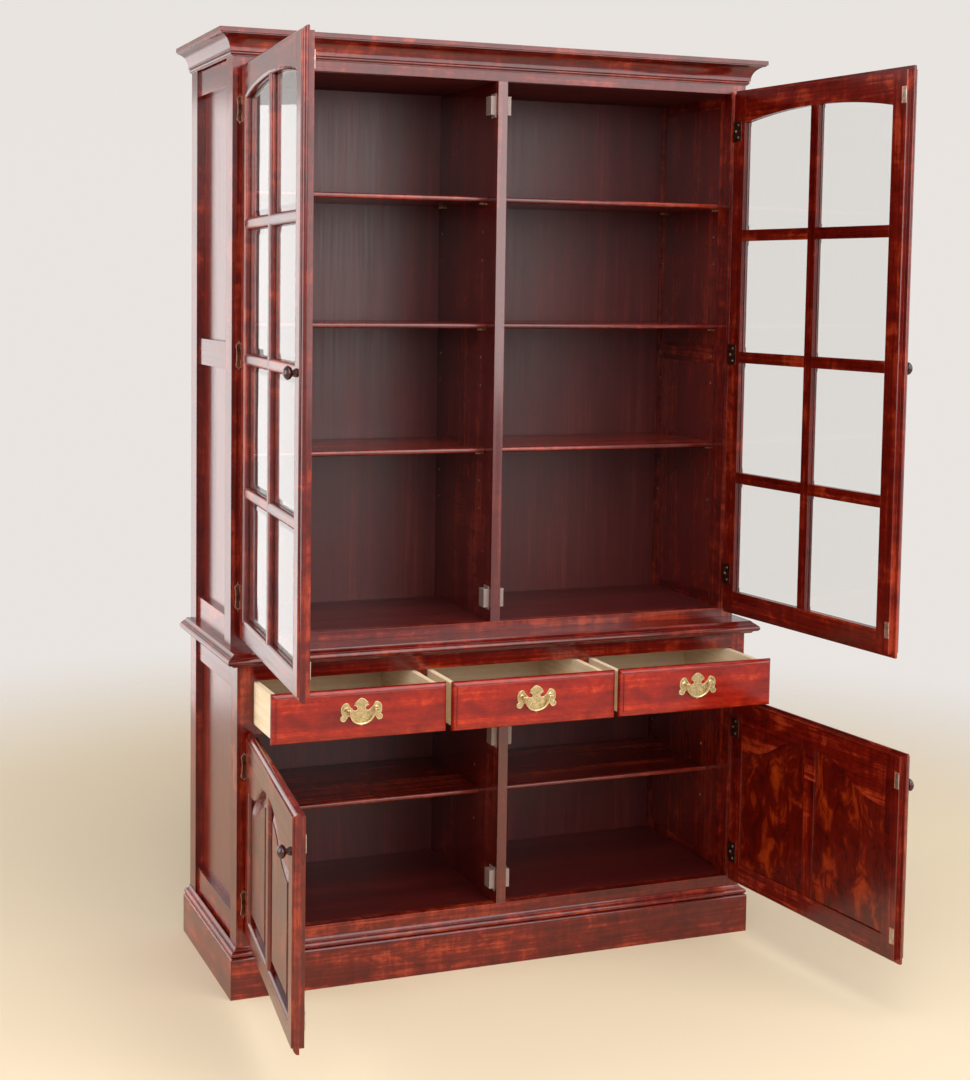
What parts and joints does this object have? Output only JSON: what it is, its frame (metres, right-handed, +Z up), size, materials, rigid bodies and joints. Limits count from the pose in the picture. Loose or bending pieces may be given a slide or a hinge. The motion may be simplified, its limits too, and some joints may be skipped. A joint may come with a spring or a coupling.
{
  "type": "display cabinet",
  "caption": "Mahogany display cabinet: hutch with arched glazed doors and adjustable shelves over a base with lipped drawers, drop bails and fielded-panel doors on a plinth",
  "frame": {"origin": "on the floor, in the middle of the case's width and depth, under the plinth's middle bearer", "axes": "+X to the cabinet's right seen from the front, +Y to the wall behind it, +Z up; the doors face -Y"},
  "size_m": [1.3446, 0.9831, 2],
  "materials": {
    "mahogany_case": "gloss red-brown lacquer over mahogany, fine straight figure",
    "mahogany_inner": "satin lacquer, grey-brown mahogany with long vertical figure",
    "mahogany_shelf": "gloss red-brown lacquer, figure along the shelf",
    "mahogany_panel": "gloss lacquer, broad vertical figure",
    "burl_panel": "gloss lacquer over mottled figure",
    "mahogany_drawer": "gloss orange-red lacquer, dark flame figure",
    "dark_knob": "turned, dark gloss lacquer",
    "pale_hardwood": "planed, unlacquered, straight figure",
    "clear_glass": "polished, bevelled round each pane",
    "polished_brass": "cast, polished, lightly aged",
    "antique_brass": "stamped, darkened",
    "zinc_steel": "zinc-plated sheet",
    "pale_plastic": "moulded, off-white"
  },
  "bodies": {
    "cabinet": {"plinth_boards": "mahogany_case", "plinth_bearers": "mahogany_inner", "base_moulding": "mahogany_case", "base_side_frames": "mahogany_case", "base_side_panels": "mahogany_panel", "base_front_rails": "mahogany_case", "base_floor": "mahogany_inner", "base_partition": "mahogany_inner", "drawer_dividers": "mahogany_case", "drawer_runners": "pale_hardwood", "base_back": "mahogany_inner", "base_shelves": "mahogany_shelf", "waist_board": "mahogany_case", "waist_moulding": "mahogany_case", "hutch_side_frames": "mahogany_case", "hutch_side_panels": "mahogany_panel", "hutch_front_rails": "mahogany_case", "hutch_floor": "mahogany_inner", "hutch_top": "mahogany_case", "hutch_divider": "mahogany_inner", "hutch_back": "mahogany_inner", "hutch_shelves": "mahogany_shelf", "shelf_pins": "polished_brass", "cornice": "mahogany_case", "hinge_wings": "antique_brass", "door_catches": "pale_plastic"},
    "upper_door_left": {"upper_door_left_frame": "mahogany_case", "upper_door_left_bars": "mahogany_case", "upper_door_left_glass": "clear_glass", "upper_door_left_knob": "dark_knob", "upper_door_left_hinge_leaves": "antique_brass", "upper_door_left_strikes": "zinc_steel"},
    "upper_door_right": {"upper_door_right_frame": "mahogany_case", "upper_door_right_bars": "mahogany_case", "upper_door_right_glass": "clear_glass", "upper_door_right_knob": "dark_knob", "upper_door_right_hinge_leaves": "antique_brass", "upper_door_right_strikes": "zinc_steel"},
    "lower_door_left": {"lower_door_left_frame": "mahogany_case", "lower_door_left_panels": "burl_panel", "lower_door_left_knob": "dark_knob", "lower_door_left_hinge_leaves": "antique_brass", "lower_door_left_strikes": "zinc_steel"},
    "lower_door_right": {"lower_door_right_frame": "mahogany_case", "lower_door_right_panels": "burl_panel", "lower_door_right_knob": "dark_knob", "lower_door_right_hinge_leaves": "antique_brass", "lower_door_right_strikes": "zinc_steel"},
    "drawer_left": {"drawer_left_front": "mahogany_drawer", "drawer_left_box": "pale_hardwood", "drawer_left_pull": "polished_brass"},
    "bail_left": {"drawer_left_bail": "polished_brass"},
    "drawer_middle": {"drawer_middle_front": "mahogany_drawer", "drawer_middle_box": "pale_hardwood", "drawer_middle_pull": "polished_brass"},
    "bail_middle": {"drawer_middle_bail": "polished_brass"},
    "drawer_right": {"drawer_right_front": "mahogany_drawer", "drawer_right_box": "pale_hardwood", "drawer_right_pull": "polished_brass"},
    "bail_right": {"drawer_right_bail": "polished_brass"}
  },
  "joints": [
    {"name": "upper_left_hinge", "type": "hinge", "parent": "cabinet", "child": "upper_door_left", "pos_m": [-0.5752, -0.1545, 1.33725], "axis": [0, 0, -1], "range_deg": [-94.5, 15.5]},
    {"name": "upper_right_hinge", "type": "hinge", "parent": "cabinet", "child": "upper_door_right", "pos_m": [0.5752, -0.1545, 1.33725], "axis": [0, 0, 1], "range_deg": [-96.5, 13.5]},
    {"name": "lower_left_hinge", "type": "hinge", "parent": "cabinet", "child": "lower_door_left", "pos_m": [-0.5752, -0.2105, 0.3435], "axis": [0, 0, -1], "range_deg": [-96.8, 13.2]},
    {"name": "lower_right_hinge", "type": "hinge", "parent": "cabinet", "child": "lower_door_right", "pos_m": [0.5752, -0.2105, 0.3435], "axis": [0, 0, 1], "range_deg": [-96, 14]},
    {"name": "left_drawer_slide", "type": "slide", "parent": "cabinet", "child": "drawer_left", "axis": [0, -1, 0], "range_m": [-0.148, 0.132]},
    {"name": "left_bail_pivot", "type": "hinge", "parent": "drawer_left", "child": "bail_left", "pos_m": [-0.38467, -0.3756, 0.633], "axis": [-1, 0, 0], "range_deg": [0, 100]},
    {"name": "middle_drawer_slide", "type": "slide", "parent": "cabinet", "child": "drawer_middle", "axis": [0, -1, 0], "range_m": [-0.154, 0.126]},
    {"name": "middle_bail_pivot", "type": "hinge", "parent": "drawer_middle", "child": "bail_middle", "pos_m": [0, -0.3816, 0.633], "axis": [-1, 0, 0], "range_deg": [0, 100]},
    {"name": "right_drawer_slide", "type": "slide", "parent": "cabinet", "child": "drawer_right", "axis": [0, -1, 0], "range_m": [-0.152, 0.128]},
    {"name": "right_bail_pivot", "type": "hinge", "parent": "drawer_right", "child": "bail_right", "pos_m": [0.38467, -0.3796, 0.633], "axis": [-1, 0, 0], "range_deg": [0, 100]}
  ]
}
